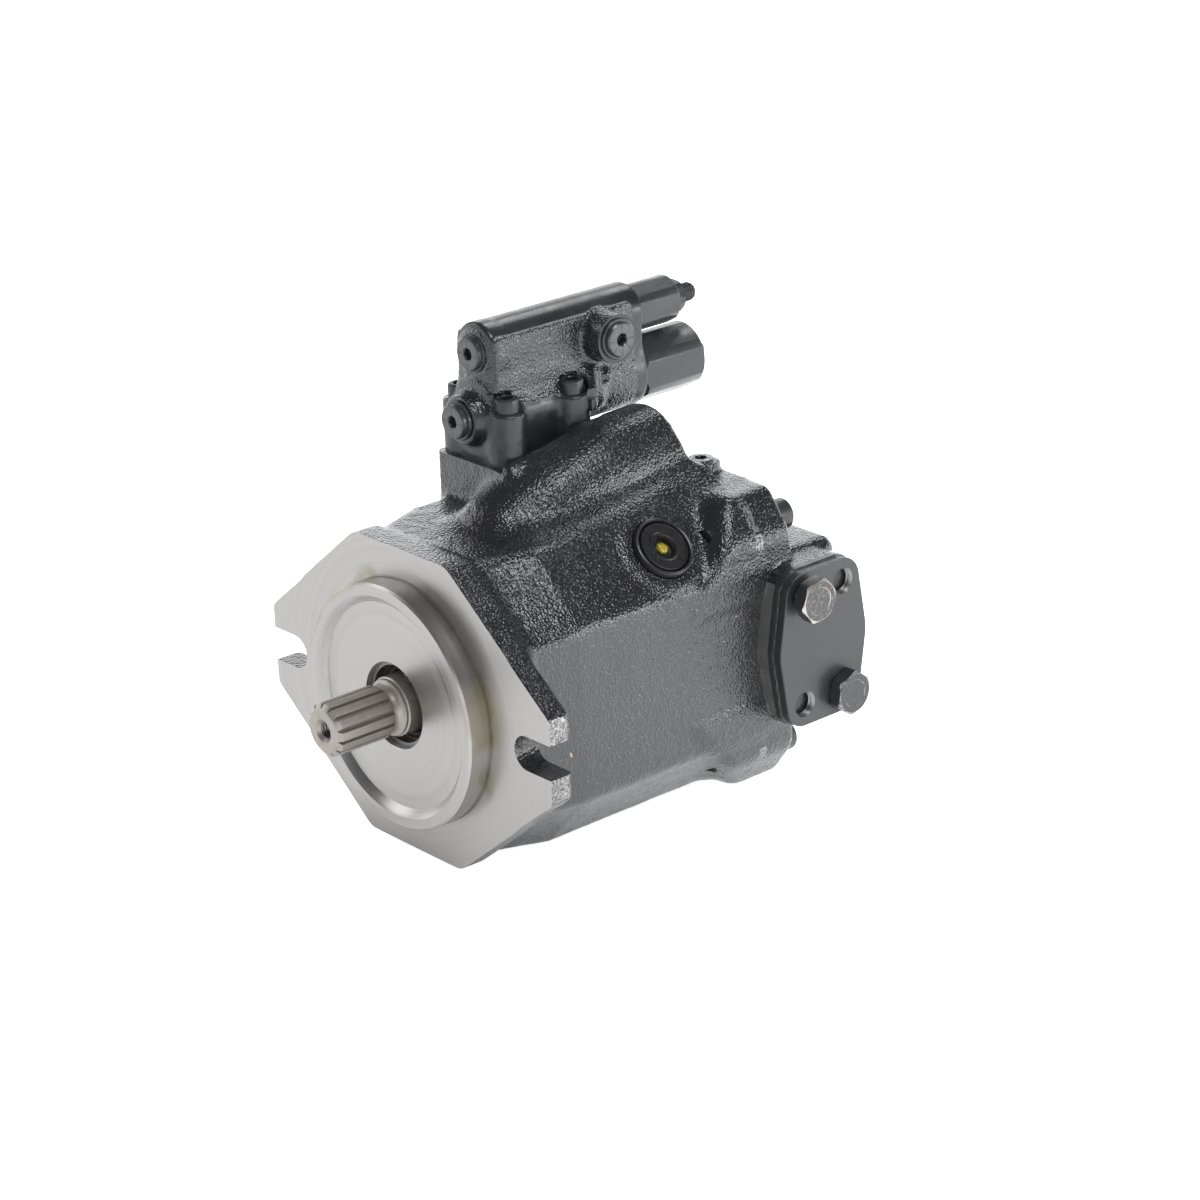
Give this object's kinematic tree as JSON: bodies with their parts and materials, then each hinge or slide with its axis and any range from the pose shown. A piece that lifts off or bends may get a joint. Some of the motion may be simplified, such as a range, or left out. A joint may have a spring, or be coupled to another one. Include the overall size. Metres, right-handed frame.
{
  "type": "axial piston pump",
  "caption": "Swash-plate axial piston pump with pilot flange, splined shaft, two-bore control valve, side port covers and a full rotating group.",
  "frame": {"origin": "where the shaft axis meets the mounting flange face", "axes": "shaft axis along Y, shaft end toward -Y and body toward +Y; +X toward the pressure port; +Z toward the control valve"},
  "size_m": [0.1738, 0.2269, 0.2023],
  "materials": {
    "black_cast": "gloss enamel over sand-cast grain; flange face bare machined iron",
    "black_smooth": "semi-gloss over smooth metal",
    "black_oxide": "semi-gloss with worn edges",
    "shaft_steel": "satin",
    "bearing_steel": "ground and polished",
    "ground_steel": "ground",
    "cast_grey": "machined",
    "bronze": "satin",
    "spring_steel": "oiled",
    "rubber": "matte",
    "gasket": "matte",
    "plug_plastic": "gloss",
    "amber_plastic": "gloss, translucent look"
  },
  "bodies": {
    "casing": {"housing": "black_cast", "port_plate": "black_cast", "housing_seal_ring": "rubber", "housing_bolts": "black_oxide", "locating_dowels": "bearing_steel", "shaft_seal": "rubber", "seal_ring_clip": "bearing_steel", "front_bearing_outer": "bearing_steel", "rear_bearing_outer": "bearing_steel", "cradle_shells": "bronze", "valve_plate": "bronze", "valve_plate_pin": "bearing_steel", "stroking_sleeve": "cast_grey", "return_spring": "spring_steel", "return_seat": "ground_steel", "drain_plug": "plug_plastic", "drain_plug_insert": "amber_plastic", "fill_plug": "plug_plastic", "gauge_plug": "black_oxide", "press_gasket": "gasket", "press_cover": "black_smooth", "press_cover_bolts": "black_oxide", "suct_gasket": "gasket", "suct_cover": "black_smooth", "suct_cover_bolts": "black_oxide", "valve_body": "black_cast", "valve_screws": "black_oxide", "valve_orings": "rubber", "front_plugs": "black_oxide", "side_plug": "black_oxide", "upper_spring": "spring_steel", "upper_cap": "black_smooth", "upper_nut": "black_oxide", "lower_spring": "spring_steel", "lower_cap": "black_smooth", "lower_nut": "black_oxide"},
    "rotating_group": {"drive_shaft": "shaft_steel", "front_bearing_inner": "bearing_steel", "rear_bearing_inner": "bearing_steel", "retaining_ball": "ground_steel", "pistons": "ground_steel", "cylinder_block": "cast_grey", "block_spring": "spring_steel", "block_spring_seats": "ground_steel", "push_pins": "bearing_steel"},
    "front_roller_set": {"front_rollers": "bearing_steel"},
    "rear_roller_set": {"rear_rollers": "bearing_steel"},
    "swash": {"swash_plate": "cast_grey"},
    "cradle_roller_set": {"cradle_rollers": "bearing_steel"},
    "slipper_ring": {"slippers": "bronze", "retaining_plate": "ground_steel"},
    "stroking_set": {"stroking_piston": "ground_steel"},
    "return_set": {"return_guide": "ground_steel"},
    "upper_spool_body": {"upper_spool": "ground_steel"},
    "upper_seat_body": {"upper_seat": "ground_steel"},
    "upper_screw_body": {"upper_screw": "black_oxide"},
    "lower_spool_body": {"lower_spool": "ground_steel"},
    "lower_seat_body": {"lower_seat": "ground_steel"},
    "lower_screw_body": {"lower_screw": "black_oxide"}
  },
  "joints": [
    {"name": "drive_shaft_spin", "type": "hinge", "parent": "casing", "child": "rotating_group", "pos_m": [0, 0, 0], "axis": [0, 1, 0], "continuous": true},
    {"name": "front_rollers_spin", "type": "hinge", "parent": "casing", "child": "front_roller_set", "pos_m": [0, 0.02, 0], "axis": [0, 1, 0], "continuous": true},
    {"name": "rear_rollers_spin", "type": "hinge", "parent": "casing", "child": "rear_roller_set", "pos_m": [0, 0.14, 0], "axis": [0, 1, 0], "continuous": true},
    {"name": "swash_tilt", "type": "hinge", "parent": "casing", "child": "swash", "pos_m": [0, 0.072, 0], "axis": [-1, 0, 0], "range_deg": [0, 15]},
    {"name": "cradle_rollers_roll", "type": "hinge", "parent": "casing", "child": "cradle_roller_set", "pos_m": [0, 0.072, 0], "axis": [-1, 0, 0], "range_deg": [0, 7.6]},
    {"name": "slipper_ring_spin", "type": "hinge", "parent": "swash", "child": "slipper_ring", "pos_m": [0, 0.072, 0], "axis": [0, 1, 0], "continuous": true},
    {"name": "stroking_piston_slide", "type": "slide", "parent": "casing", "child": "stroking_set", "axis": [0, 0.9591, 0.2829], "range_m": [0, 0.0165]},
    {"name": "return_guide_slide", "type": "slide", "parent": "casing", "child": "return_set", "axis": [0, -1, 0], "range_m": [0, 0.0142], "deforming": ["return_spring"]},
    {"name": "upper_spool_slide", "type": "slide", "parent": "casing", "child": "upper_spool_body", "axis": [0, 1, 0], "range_m": [0, 0.003], "deforming": ["upper_spring"]},
    {"name": "upper_seat_slide", "type": "slide", "parent": "casing", "child": "upper_seat_body", "axis": [0, 1, 0], "range_m": [-0.002, 0.002], "deforming": ["upper_spring"]},
    {"name": "upper_screw_turn", "type": "hinge", "parent": "upper_seat_body", "child": "upper_screw_body", "pos_m": [-0.024, 0.165, 0.124], "axis": [0, 1, 0], "range_deg": [-725, 725]},
    {"name": "lower_spool_slide", "type": "slide", "parent": "casing", "child": "lower_spool_body", "axis": [0, 1, 0], "range_m": [0, 0.003], "deforming": ["lower_spring"]},
    {"name": "lower_seat_slide", "type": "slide", "parent": "casing", "child": "lower_seat_body", "axis": [0, 1, 0], "range_m": [-0.002, 0.002], "deforming": ["lower_spring"]},
    {"name": "lower_screw_turn", "type": "hinge", "parent": "lower_seat_body", "child": "lower_screw_body", "pos_m": [-0.024, 0.172, 0.098], "axis": [0, 1, 0], "range_deg": [-725, 725]}
  ],
  "couplings": [
    {"joint": "front_rollers_spin", "follows": "drive_shaft_spin", "ratio": 0.42},
    {"joint": "rear_rollers_spin", "follows": "drive_shaft_spin", "ratio": 0.432},
    {"joint": "slipper_ring_spin", "follows": "drive_shaft_spin", "ratio": 1},
    {"joint": "cradle_rollers_roll", "follows": "swash_tilt", "ratio": 0.5},
    {"joint": "stroking_piston_slide", "follows": "swash_tilt", "m_per_rad": 0.0622},
    {"joint": "return_guide_slide", "follows": "swash_tilt", "m_per_rad": 0.0535},
    {"joint": "upper_screw_turn", "follows": "upper_seat_slide", "rad_per_m": 6283.2},
    {"joint": "lower_screw_turn", "follows": "lower_seat_slide", "rad_per_m": 6283.2}
  ]
}
